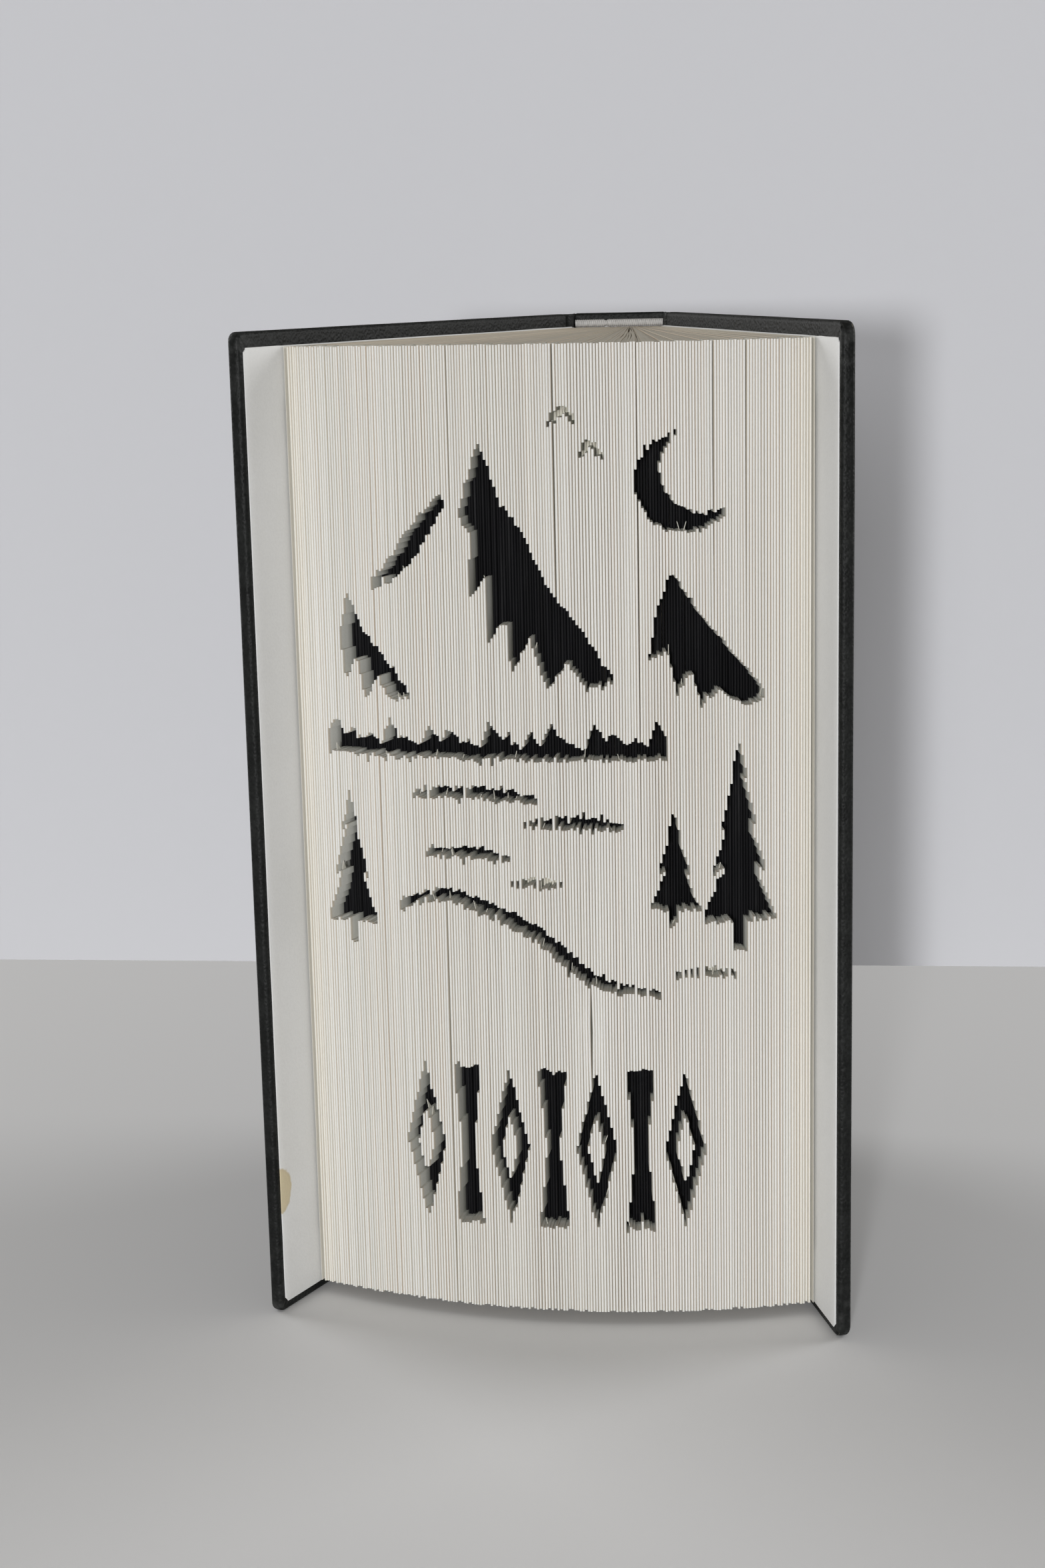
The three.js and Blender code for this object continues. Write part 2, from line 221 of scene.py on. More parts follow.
def wobble(*at):
    """Smooth noise between about -1 and 1."""
    return noise.noise(Vector((*at, 0, 0)[:3]))


# Node materials


def grey(value):
    return (value, value, value)


class Shader:
    """A Principled material and short calls for the nodes that feed it."""

    def __init__(self, name, colour, roughness, **sockets):
        self.material = bpy.data.materials.new(name)
        self.material.use_nodes = True
        self.tree = self.material.node_tree
        self.surface = self.tree.nodes["Principled BSDF"]
        self.surface.inputs["Base Color"].default_value = (*colour, 1)
        self.surface.inputs["Roughness"].default_value = roughness
        for socket, value in sockets.items():
            self.surface.inputs[socket.replace("_", " ")].default_value = value
        self.place = self.node("ShaderNodeTexCoord").outputs["Object"]

    def node(self, kind, **settings):
        made = self.tree.nodes.new(kind)
        for setting, value in settings.items():
            setattr(made, setting, value)
        return made

    def link(self, start, end):
        self.tree.links.new(start, end)

    def stretched(self, scale):
        mapping = self.node("ShaderNodeMapping")
        mapping.inputs["Scale"].default_value = scale
        self.link(self.place, mapping.inputs["Vector"])
        return mapping.outputs["Vector"]

    def noise(self, per_metre, detail=3, vector=None):
        texture = self.node("ShaderNodeTexNoise")
        texture.inputs["Scale"].default_value = per_metre
        texture.inputs["Detail"].default_value = detail
        self.link(vector or self.place, texture.inputs["Vector"])
        return texture.outputs["Fac"]

    def ramp(self, value, stops):
        ramp = self.node("ShaderNodeValToRGB")
        self.link(value, ramp.inputs["Fac"])
        elements = ramp.color_ramp.elements
        while len(elements) < len(stops):
            elements.new(0.5)
        for element, (position, colour) in zip(elements, stops):
            element.position = position
            element.color = (*colour, 1)
        return ramp.outputs["Color"]

    def mix(self, kind, share, a, b):
        mix = self.node("ShaderNodeMix", data_type="RGBA", blend_type=kind)
        for socket, value in (("Factor", share), ("A", a), ("B", b)):
            target = [s for s in mix.inputs if s.name == socket and s.enabled][0]
            if isinstance(value, bpy.types.NodeSocket):
                self.link(value, target)
            elif socket == "Factor":
                target.default_value = value
            else:
                target.default_value = (*value, 1)
        return [s for s in mix.outputs if s.enabled][0]

    def math(self, operation, a, b):
        node = self.node("ShaderNodeMath", operation=operation)
        for target, value in zip(node.inputs, (a, b)):
            if isinstance(value, bpy.types.NodeSocket):
                self.link(value, target)
            else:
                target.default_value = value
        return node.outputs[0]

    def vector(self, operation, a, b=(0, 0, 0), output="Vector"):
        node = self.node("ShaderNodeVectorMath", operation=operation)
        self.link(a, node.inputs[0])
        node.inputs[1].default_value = b
        return node.outputs[output]

    def tint(self):
        return self.node("ShaderNodeVertexColor", layer_name="tint").outputs["Color"]

    def colour(self, value):
        self.link(value, self.surface.inputs["Base Color"])

    def roughness(self, value, low, high):
        span = self.node("ShaderNodeMapRange")
        span.inputs["To Min"].default_value = low
        span.inputs["To Max"].default_value = high
        self.link(value, span.inputs["Value"])
        self.link(span.outputs["Result"], self.surface.inputs["Roughness"])

    def bump(self, height, depth):
        bump = self.node("ShaderNodeBump")
        bump.inputs["Distance"].default_value = depth
        self.link(height, bump.inputs["Height"])
        self.link(bump.outputs["Normal"], self.surface.inputs["Normal"])


def paper_material():
    """Ivory book paper: each leaf has its own tint, with faint fibres and stains."""
    shader = Shader("book_paper", (0.78, 0.76, 0.69), 0.85, Specular_IOR_Level=0.25)
    fibres = shader.noise(2600, 4)
    clouds = shader.noise(38, 3, shader.stretched((1, 1, 0.25)))
    base = shader.ramp(clouds, [(0.3, (0.76, 0.757, 0.722)), (0.7, (0.80, 0.80, 0.775))])
    flecks = shader.ramp(fibres, [(0.3, grey(0.86)), (0.6, grey(1))])
    flecked = shader.mix("MULTIPLY", 0.35, base, flecks)
    shader.colour(shader.mix("MULTIPLY", 1, flecked, shader.tint()))
    shader.bump(fibres, 0.00002)
    return shader.material


def endpaper_material(name, stained=False):
    """Smooth pale grey endpaper, with a little yellowing and a soft surface."""
    shader = Shader(name, (0.66, 0.65, 0.62), 0.8, Specular_IOR_Level=0.3)
    fibres = shader.noise(1800, 5)
    clouds = shader.noise(22, 4)
    stops = [(0.25, (0.76, 0.76, 0.745)), (0.55, (0.805, 0.805, 0.795)), (0.8, (0.785, 0.78, 0.755))]
    base = shader.ramp(clouds, stops)
    flecks = shader.ramp(fibres, [(0.3, grey(0.88)), (0.6, grey(1))])
    flecked = shader.mix("MULTIPLY", 0.3, base, flecks)
    colour = shader.mix("MULTIPLY", 1, flecked, shader.tint())
    if stained:
        colour = shader.mix("MULTIPLY", 0.8, colour, glue_stain(shader))
    shader.colour(colour)
    shader.bump(fibres, 0.00003)
    return shader.material


def glue_stain(shader):
    """A yellow half-oval at the fore edge of the front pastedown, where glue came through."""
    radius = 4.5 * MM
    raggedness = 1.2 * MM
    middle = beside_cover(PASTEDOWN_FORE, -0.3, -1)
    offset = shader.vector("SUBTRACT", shader.place, to_row(middle.x, middle.y, 28.5))
    flattened = shader.vector("MULTIPLY", offset, (1, 1, 0.72))
    reach = shader.vector("LENGTH", flattened, output="Value")
    ragged = shader.math("ADD", reach, shader.math("MULTIPLY", shader.noise(500, 3), raggedness))
    spot = shader.math("DIVIDE", ragged, radius)
    return shader.ramp(spot, [(0.80, (0.80, 0.66, 0.38)), (0.92, (0.74, 0.60, 0.34)), (1.0, (1, 1, 1))])


def ink_material():
    """Black ink soaked into the folded leaves, with paler streaks where it is thin."""
    shader = Shader("inked_paper", (0.01, 0.01, 0.011), 0.7, Specular_IOR_Level=0.15)
    streaks = shader.noise(900, 3, shader.stretched((1, 1, 0.05)))
    stops = [(0.35, (0.004, 0.004, 0.005)), (0.6, (0.008, 0.008, 0.009)), (0.8, (0.022, 0.022, 0.023))]
    base = shader.ramp(streaks, stops)
    shader.colour(shader.mix("MULTIPLY", 1, base, shader.tint()))
    shader.bump(shader.noise(3000, 3), 0.00003)
    return shader.material


def cloth_material():
    """Dark book cloth with a fine pebbled grain, rubbed paler along its edges."""
    shader = Shader("dark_book_cloth", (0.012, 0.014, 0.013), 0.55, Specular_IOR_Level=0.18)
    voronoi = shader.node("ShaderNodeTexVoronoi", feature="SMOOTH_F1")
    voronoi.inputs["Scale"].default_value = 1600
    shader.link(shader.place, voronoi.inputs["Vector"])
    pebbles = voronoi.outputs["Distance"]
    clouds = shader.noise(150, 6)
    base = shader.ramp(clouds, [(0.32, (0.0036, 0.0041, 0.0038)), (0.68, (0.0120, 0.0130, 0.0123))])
    relief = shader.ramp(pebbles, [(0.1, grey(0.55)), (0.7, grey(1.4))])
    grain = shader.mix("MULTIPLY", 0.7, base, relief)
    patches = shader.ramp(shader.noise(420, 5), [(0.45, grey(0)), (0.68, grey(1))])
    rub = shader.math("MULTIPLY", patches, shader.tint())
    shader.colour(shader.mix("MIX", rub, grain, (0.035, 0.036, 0.035)))
    shader.roughness(clouds, 0.44, 0.62)
    height = shader.math("ADD", pebbles, shader.math("MULTIPLY", shader.noise(700, 4), 0.8))
    shader.bump(height, 0.00016)
    return shader.material


def band_material():
    """Pale thread whipped over the core of a headband."""
    shader = Shader("whipped_thread", (0.62, 0.60, 0.57), 0.75)
    strands = shader.noise(2400, 3, shader.stretched((1, 0.4, 0.4)))
    base = shader.ramp(strands, [(0.3, (0.52, 0.51, 0.50)), (0.7, (0.72, 0.71, 0.70))])
    shader.colour(shader.mix("MULTIPLY", 1, base, shader.tint()))
    shader.bump(strands, 0.00006)
    return shader.material


def board_material():
    """Grey pulp board, flecked with fibres."""
    shader = Shader("grey_board", (0.25, 0.22, 0.17), 0.92)
    flecks = shader.noise(900, 6)
    shader.colour(shader.ramp(flecks, [(0.35, (0.17, 0.15, 0.12)), (0.65, (0.30, 0.27, 0.22))]))
    shader.bump(flecks, 0.0001)
    return shader.material


def mull_material():
    """Open plain weave of the mull, from two crossed waves of threads."""
    dark = (0.35, 0.31, 0.24)
    pale = (0.60, 0.55, 0.44)
    shader = Shader("open_mull", pale, 0.95)
    threads = []
    for direction in ("X", "Z"):
        wave = shader.node("ShaderNodeTexWave", bands_direction=direction)
        wave.inputs["Scale"].default_value = 150
        wave.inputs["Distortion"].default_value = 1.5
        shader.link(shader.place, wave.inputs["Vector"])
        threads.append(wave.outputs["Fac"])
    weave = shader.math("MAXIMUM", *threads)
    shader.colour(shader.ramp(weave, [(0.3, dark), (0.8, pale)]))
    shader.bump(weave, 0.0002)
    return shader.material


def liner_material():
    """Brown kraft paper with long fibres."""
    shader = Shader("kraft_paper", (0.39, 0.27, 0.14), 0.9)
    fibres = shader.noise(700, 5, shader.stretched((1, 1, 0.15)))
    shader.colour(shader.ramp(fibres, [(0.3, (0.32, 0.215, 0.11)), (0.7, (0.44, 0.31, 0.17))]))
    shader.bump(fibres, 0.00005)
    return shader.material


def floor_material():
    """Smooth pale card."""
    return Shader("pale_floor", (0.83, 0.83, 0.835), 0.75, Specular_IOR_Level=0.2).material


def wall_material():
    """Pale card that shows only its front, so that it hides and shades nothing from behind."""
    shader = Shader("pale_wall", (0.70, 0.705, 0.735), 0.75, Specular_IOR_Level=0.2)
    seen = shader.node("ShaderNodeLightPath").outputs["Is Camera Ray"]
    behind = shader.node("ShaderNodeNewGeometry").outputs["Backfacing"]
    clear = shader.node("ShaderNodeBsdfTransparent")
    mix = shader.node("ShaderNodeMixShader")
    shader.link(shader.math("SUBTRACT", seen, behind), mix.inputs["Fac"])
    shader.link(clear.outputs["BSDF"], mix.inputs[1])
    shader.link(shader.surface.outputs["BSDF"], mix.inputs[2])
    shader.link(mix.outputs["Shader"], shader.tree.nodes["Material Output"].inputs["Surface"])
    return shader.material


PAPER = paper_material()
ENDPAPER = endpaper_material("pale_endpaper")
STAINED_ENDPAPER = endpaper_material("stained_endpaper", stained=True)
INK = ink_material()
CLOTH = cloth_material()
BAND = band_material()


# Picture on the fore edge, in millimetres right of its middle and above the foot of the book


def points_2d(pairs):
    return [Vector(pair) for pair in pairs]


def arc(u, z, radius, start, end):
    steps = 24
    turns = [start + (end - start) * i / steps for i in range(steps + 1)]
    return [Vector((u + radius * math.cos(turn), z + radius * math.sin(turn))) for turn in turns]


def crescent(u, z, radius, bite_radius, bite_offset):
    """The outer arc, and back along the circle that bites into it."""
    half = math.acos((radius**2 + bite_offset**2 - bite_radius**2) / (2 * radius * bite_offset))
    bite = math.acos((bite_radius**2 + bite_offset**2 - radius**2) / (2 * bite_radius * bite_offset))
    outline = arc(0, 0, radius, half, 2 * math.pi - half)
    outline += arc(bite_offset, 0, bite_radius, math.pi + bite, math.pi - bite)
    turned = Matrix.Rotation(math.pi / 5, 2)
    return [turned @ point + Vector((u, z)) for point in outline]


def brush_stroke(pairs, width):
    """A smooth stroke through the points, thickest in its middle."""
    line = catmull_rom(points_2d(pairs), 8)
    return ribbon(line, lambda t: width * (0.45 + 0.55 * math.sin(math.pi * t)))


def ripple(u, z, half_length, width):
    pairs = [(u - half_length, z), (u, z + width * 0.3), (u + half_length, z - width * 0.2)]
    return brush_stroke(pairs, width)


def fir_tree(u, foot, height, width, skirts):
    """A fir with its skirts of branches one above another, on a short trunk."""
    right = [(0, 1)]
    for i in range(1, skirts + 1):
        share = i / skirts
        right.append((0.5 * share, 1 - 0.86 * share))
        if i < skirts:
            right.append((0.26 * share, 1 - 0.86 * share + 0.05))
    right += [(0.09, 0.14), (0.09, 0)]
    left = [(-x, y) for x, y in right[:0:-1]]
    return points_2d([(u + x * width, foot + y * height) for x, y in right + left])


def far_wood(start, end, foot, height, trees):
    """A strip of pointed treetops of uneven height."""
    pitch = (end - start) / trees
    outline = [(start, foot), (start, foot + height * 0.4)]
    for i in range(trees):
        tall = height * (0.72 + 0.28 * math.sin(2.4 * i + 1))
        outline.append((start + (i + 0.5) * pitch, foot + tall))
        outline.append((start + (i + 1) * pitch, foot + tall * 0.55))
    return points_2d([*outline, (end, foot)])


def lozenge(u, z, width, height, share):
    """A diamond, and the diamond of a share of its size that is left white in it."""
    corners = [(0, height / 2), (width / 2, 0), (0, -height / 2), (-width / 2, 0)]
    return [points_2d([(u + x * k, z + y * k) for x, y in corners]) for k in (1, share)]


def hourglass(u, z, width, height, waist):
    corners = [(1, 1), (waist, 0), (1, -1), (-1, -1), (-waist, 0), (-1, 1)]
    return points_2d([(u + x * width / 2, z + y * height / 2) for x, y in corners])


BORDER_HEIGHT = 36
BORDER_MIDDLE = 40
BORDER_PITCH = 9.6
BORDER_MOTIFS = 7
DIAMOND_WIDTH = 9
HOURGLASS_WIDTH = 6.4
MOTIF_WAIST = 0.42

HIGH_PEAK = [
    (-13, 193), (-9, 181), (-4, 174), (1, 163), (8, 154), (15, 143), (9, 141), (5, 147), (1, 141),
    (-3, 152), (-7, 144), (-8, 156), (-12, 150), (-12, 165), (-16, 160), (-15, 174), (-18, 177),
]
LOW_PEAK = [
    (27, 166), (31, 159), (36, 153), (41, 147), (48, 139), (42, 137), (37, 141), (33, 137),
    (31, 145), (28, 140), (26, 149), (22, 147), (24, 158),
]
WEST_PEAK = [
    (-44, 161), (-40, 153), (-35, 147), (-29, 139), (-34, 138), (-37, 143), (-40, 138), (-42, 147),
    (-45, 142), (-46, 152),
]


def border():
    """A row of tall diamonds, white in their middles, with hourglasses between them."""
    outlines = []
    for i in range(BORDER_MOTIFS):
        u = (i - (BORDER_MOTIFS - 1) / 2) * BORDER_PITCH
        if i % 2:
            outlines.append([hourglass(u, BORDER_MIDDLE, HOURGLASS_WIDTH, BORDER_HEIGHT, MOTIF_WAIST)])
        else:
            outlines.append(lozenge(u, BORDER_MIDDLE, DIAMOND_WIDTH, BORDER_HEIGHT, MOTIF_WAIST))
    return outlines


BLACK_FIELDS = [
    [crescent(30, 184, 10.5, 9, 4.6)],
    [points_2d(HIGH_PEAK)],
    [brush_stroke([(-21, 181), (-26, 175), (-31, 168), (-38, 162)], 4.4)],
    [points_2d(LOW_PEAK)],
    [points_2d(WEST_PEAK)],
    [far_wood(-50, 26, 126, 8.5, 17)],
    [fir_tree(41, 84, 46, 17, 4)],
    [fir_tree(27, 90, 25, 11, 3)],
    [fir_tree(-45, 84, 34, 13, 3)],
    [ripple(-16, 118, 14, 2.6)],
    [ripple(6, 112, 11, 2.6)],
    [ripple(-18, 105, 10, 2.4)],
    [brush_stroke([(-34, 93), (-22, 96), (-4, 89), (10, 78), (24, 75)], 3.4)],
    *border(),
]

PLAIN_CUTS = [
    [brush_stroke([(2, 196), (5, 199), (8, 196)], 1.8)],
    [brush_stroke([(8, 189), (10.5, 192), (13, 189)], 1.8)],
    [ripple(-2, 99, 6, 2)],
    [ripple(34, 79, 7, 2)],
]


def stretches_inside(outlines, u):
    """The stretches of the upright line at u that lie inside the outlines, as (low, high)."""
    crossings = []
    for outline in outlines:
        for a, b in zip(outline, outline[1:] + outline[:1]):
            if (a.x <= u) != (b.x <= u):
                crossings.append(a.y + (b.y - a.y) * (u - a.x) / (b.x - a.x))
    crossings.sort()
    return list(zip(crossings[::2], crossings[1::2]))


def cut_error(rng):
    """How far a cut ends from its line: a little on each leaf, and more now and then."""
    return rng.uniform(-0.5, 0.5) + (rng.random() < 0.12) * rng.uniform(-1.3, 1.3)


def cuts_of_leaf(u, rng):
    """The cuts of one leaf as (low, high, inked), from the foot up and clear of each other."""
    found = []
    for inked, fields in ((True, BLACK_FIELDS), (False, PLAIN_CUTS)):
        for outlines in fields:
            for low, high in stretches_inside(outlines, u):
                low += cut_error(rng)
                high += cut_error(rng)
                if high - low >= SHORTEST_CUT:
                    found.append((low, high, inked))
    cuts = []
    for low, high, inked in sorted(found):
        if cuts and low < cuts[-1][1] + SHORTEST_BRIDGE:
            cuts[-1] = (cuts[-1][0], max(high, cuts[-1][1]), cuts[-1][2] or inked)
        else:
            cuts.append((low, high, inked))
    return cuts


# Leaves


class Leaf:
    """One leaf in plan: from the spine through the neck of the block to its place on the fan."""

    def __init__(self, index, rng):
        self.index = index
        self.share = (index + 0.5) / LEAF_COUNT
        self.spread = 2 * self.share - 1
        self.angle = HALF_FAN * self.spread
        self.u = FAN_RADIUS * self.angle
        self.neck = Vector((NECK_HALF * self.spread, -NECK_DEPTH))
        across = FAN_RADIUS * math.sin(self.angle)
        self.tip = Vector((across, FAN_CENTRE - FAN_RADIUS * math.cos(self.angle)))
        self.ahead = (self.tip - self.neck).normalized()
        self.aside = Vector((-self.ahead.y, self.ahead.x))
        self.pitch = 2 * HALF_FAN * FAN_RADIUS / LEAF_COUNT
        self.back_half = self.pitch * BACK_SHARE * PAPER_FILL / 2
        self.fill = rng.uniform(*FOLD_FILL)
        self.setback = rng.uniform(0.02, 0.22)
        self.top = HEAD - rng.uniform(0, 0.22)
        self.foot = FOOT + 0.55 * rng.random() ** 2
        self.bow = 0.9 * wobble(index * 0.06, 3.7) * self.freedom()
        self.warmth = rng.random()
        self.light = rng.uniform(0.95, 1.03)
        self.curl = 0
        self.slits = []

    def freedom(self):
        """How far a leaf may stray: none at the two ends of the fan."""
        return min(1, 9 * self.share * (1 - self.share))

    def drift(self, z):
        """Sideways stray of the folded edge at a height, mostly shared with its neighbours."""
        shared = 0.34 * wobble(self.index * 0.06, z * 0.007, 1.3)
        own = 0.025 * wobble(self.index * 5.3, z * 0.012, 8.1)
        gaps = [
            width * math.exp(-(((z - middle) / spread) ** 2))
            for middle, spread, width in self.slits
        ]
        return (shared + own) * self.freedom() + sum(gaps)

    def point(self, depth, across, z):
        """A point at a depth behind the fore edge, across the leaf from its middle line."""
        loose = max(0, 1 - depth / FOLD_DEPTH)
        back = depth + (self.setback + 0.12 * (1 + wobble(self.index * 3.1, z * 0.03))) * loose
        place = self.tip - self.ahead * back + self.aside * (across + self.drift(z) * loose)
        return (place.x, place.y, z)

    def tints(self):
        """Colours of the folded edge, of the painted shade in the gap beside it and of the ends of the
        leaf.
        """
        edge_warmth = max(0, 1 - 0.12 * min(self.index, LEAF_COUNT - 1 - self.index))
        cream = 0.30 * edge_warmth + 0.08 * self.warmth
        crest = (self.light, self.light * (1 - 0.08 * cream), self.light * (1 - 0.25 * cream))
        # painted shade: the sides of a leaf, in the gaps between leaves, are tinted darker and warmer
        # than its folded edge
        painted_gap_shade = (0.85, 0.79 - 0.06 * self.warmth, 0.69 - 0.08 * self.warmth)
        end = (0.79, 0.735, 0.65)
        return crest, painted_gap_shade, end


def stretches_left(leaf, cuts):
    """The heights between the cuts, where the folded edge stands at the front."""
    edges = [leaf.foot, *[z for low, high, _ in cuts for z in (low, high)], leaf.top]
    return list(zip(edges[::2], edges[1::2]))


def levels_between(low, high):
    count = max(1, round((high - low) / LEVEL_STEP))
    return [low + (high - low) * i / count for i in range(count + 1)]


def add_leaf_body(builder, leaf):
    """The leaf behind its folded edge, from the spine to the depth of the fold."""
    _, painted_gap_shade, end = leaf.tints()
    thin = SHOULDER_HALF * 2 / LEAF_COUNT * PAPER_FILL / 2
    thick = leaf.back_half
    front = leaf.tip - leaf.ahead * FOLD_DEPTH
    line = [
        (Vector((SHOULDER_HALF * leaf.spread, -0.02)), thin),
        (Vector((SHOULDER_HALF * leaf.spread, -1.2)), thin),
        (leaf.neck, thin * 0.9),
    ]
    for share in (0.22, 0.45, 0.68, 0.86):
        bent = leaf.neck.lerp(front, share) + leaf.aside * leaf.bow * math.sin(math.pi * share)
        ruffle = 0.24 * wobble(leaf.index * 2.7, share * 3, 6.2) * leaf.freedom() * (share > 0.5)
        ruffle += leaf.curl * math.sin(7 * share)
        half = (thin + (thick - thin) * share) * (1 - abs(leaf.curl))
        line.append((bent + leaf.aside * ruffle, half))
    line.append((front, thick))
    sides = [[], []]
    for i, (point, half) in enumerate(line):
        for side, sign in zip(sides, (1, -1)):
            aside = leaf.aside if i > 1 else Vector((1, 0))
            side.append(point + aside * half * sign)
    outline = sides[0] + sides[1][::-1]
    rings = [[(p.x, p.y, z) for p in outline] for z in (leaf.foot, leaf.top)]
    # the sides of the leaf carry the painted shade of the gap between leaves
    builder.stack(rings, [painted_gap_shade, painted_gap_shade], end, end)


def add_folded_edge(builder, leaf, low, high):
    """One standing stretch of the folded edge, rounded at the front."""
    crest, painted_gap_shade, end = leaf.tints()
    half = leaf.pitch * leaf.fill / 2
    back = leaf.back_half
    # Across the section: the crest at the front, the painted shade of the gap just behind it, the plain
    # paper tone on the walls of a cut, and painted shade at the back of those walls
    section = [
        (FOLD_DEPTH + FOLD_OVERLAP, back, PAINTED_SHADE_DEEP_WALL), (3.6, (back + half) / 2, PALE_WALL),
        (1.3, half, PALE_WALL), (0.5, half, painted_gap_shade), (0.24, 0.86 * half, painted_gap_shade), (0.07, 0.62 * half, crest),
        (0, 0, crest),
    ]
    full = section + [(depth, -across, tint) for depth, across, tint in section[-2::-1]]
    tints = [tint for _, _, tint in full]
    rings = [
        [leaf.point(depth, across, z) for depth, across, _ in full]
        for z in levels_between(low, high)
    ]
    caps = [end if z in (leaf.foot, leaf.top) else None for z in (low, high)]
    builder.stack(rings, [tints] * len(rings), *caps)


def add_cut_floor(builder, leaf, low, high, rng, tint):
    """The folded-back edge at the bottom of a cut."""
    half = leaf.pitch * rng.uniform(0.78, 0.92) / 2
    depth = CUT_DEPTH + rng.uniform(-0.25, 0.45)
    section = [
        (FOLD_DEPTH + FOLD_OVERLAP, leaf.back_half), (depth + 0.3, half),
        (depth + 0.05, 0.55 * half), (depth, 0),
    ]
    full = section + [(deep, -across) for deep, across in section[-2::-1]]
    levels = (low - CUT_OVERLAP, high + CUT_OVERLAP)
    rings = [[leaf.point(deep, across, z) for deep, across in full] for z in levels]
    builder.stack(rings, [tint, tint])


FLAP_THICKNESS = 0.11
FLAP_CHANCE = 0.07


def add_flap(builder, leaf, z, rng):
    """A stray triangle of cut paper that stands out of a cut."""
    side = rng.choice((-1, 1)) * leaf.pitch * 0.4
    reach = rng.uniform(1.0, 2.4)
    root = rng.uniform(1.4, 3.0)
    tall = rng.uniform(0.7, 2.0)
    lean = rng.uniform(-0.7, 0.7)
    low = z - 0.4
    corners = [(root, side, low), (root + reach, side, low), (root + 0.2, side + lean, z + tall)]
    rings = [
        [leaf.point(depth, across + offset, height) for depth, across, height in corners]
        for offset in (-FLAP_THICKNESS / 2, FLAP_THICKNESS / 2)
    ]
    tint = (0.95, 0.93, 0.86)
    builder.stack(rings, [tint, tint])


# Slits between leaves: the leaf on the left, the middle and spread of the slit up the book, its width
SLITS = (
    (53, 60, 55, 0.26), (58, 205, 40, 0.16), (94, 190, 50, 0.30), (103, 66, 9, 0.42),
    (121, 170, 45, 0.2), (146, 200, 30, 0.26), (157, 205, 35, 0.26), (30, 120, 60, 0.14),
)
SLIT_NEIGHBOURS = 4  # leaves on each side of a slit that give way to it
CURLS = {64: 0.15, 115: 0.2, 117: -0.26, 118: 0.22, 120: -0.28, 122: 0.24, 139: -0.15}


def open_slits(leaves):
    """Pairs of neighbours that stand apart over part of their height, and a few curled leaves."""
    for index, middle, spread, width in SLITS:
        for step in range(SLIT_NEIGHBOURS):
            fade = width * (1 - step / SLIT_NEIGHBOURS)
            for leaf, sign in ((leaves[index - step], -1), (leaves[index + 1 + step], 1)):
                leaf.slits.append((middle, spread, sign * fade / 2))
    for index, curl in CURLS.items():
        leaves[index].curl = curl


def build_pages():
    rng = random.Random(7)
    paper, ink = Builder(), Builder()
    leaves = [Leaf(index, rng) for index in range(LEAF_COUNT)]
    open_slits(leaves)
    for leaf in leaves:
        cuts = cuts_of_leaf(leaf.u, rng)
        add_leaf_body(paper, leaf)
        for low, high in stretches_left(leaf, cuts):
            add_folded_edge(paper, leaf, low, high)
        for low, high, inked in cuts:
            if inked:
                shade = rng.uniform(0.75, 1.35)
                add_cut_floor(ink, leaf, low, high, rng, grey(shade))
            else:
                add_cut_floor(paper, leaf, low, high, rng, (0.93, 0.9, 0.82))
            if rng.random() < FLAP_CHANCE:
                add_flap(paper, leaf, low, rng)
    pages = paper.finish("fanned_pages", PAPER)
    floors = ink.finish("inked_folds", INK)
    round_edges_smoothly(pages, 50)
    round_edges_smoothly(floors, 50)
    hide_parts("page_block")
    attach(pages, "block")
    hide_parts(*[name for name in frame["nodes"] if name.startswith("black_")])
    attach(floors, "block")


def page_heights(rows):
    return [FOOT + (HEAD - FOOT) * j / rows for j in range(rows + 1)]


def build_flyleaf(side, name):
    """The loose sheet beside a cover: creamier than the pages and a little wavy."""
    builder = Builder()
    columns = 26
    cream = (1.02, 0.99, 0.91)
    rings = []
    for z in page_heights(40):
        faces = [[], []]
        for i in range(columns + 1):
            share = i / columns
            along = GROOVE_REACH + (LEAF_REACH - GROOVE_REACH - 0.15) * share
            sway = 0.05 * wobble(share * 2.2, z * 0.013, side) * share
            for face, half in zip(faces, (FLYLEAF_THICKNESS / 2, -FLYLEAF_THICKNESS / 2)):
                out = FLYLEAF_OUT + 0.12 * share + sway + half * (1 - 0.6 * (i == columns))
                point = beside_cover(along, out, side)
                face.append((point.x, point.y, z))
        rings.append(faces[0] + faces[1][::-1])
    builder.stack(rings, [cream] * len(rings))
    sheet = builder.finish(f"{name}_loose_sheet", ENDPAPER, mirrored=side < 0)
    round_edges_smoothly(sheet, 30)
    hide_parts(f"{name}_flyleaf")
    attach(sheet, "block")


# Covers


CORNER_STEPS = 6
SIDE_STEPS = 14
SMALLEST_RADIUS = 0.25


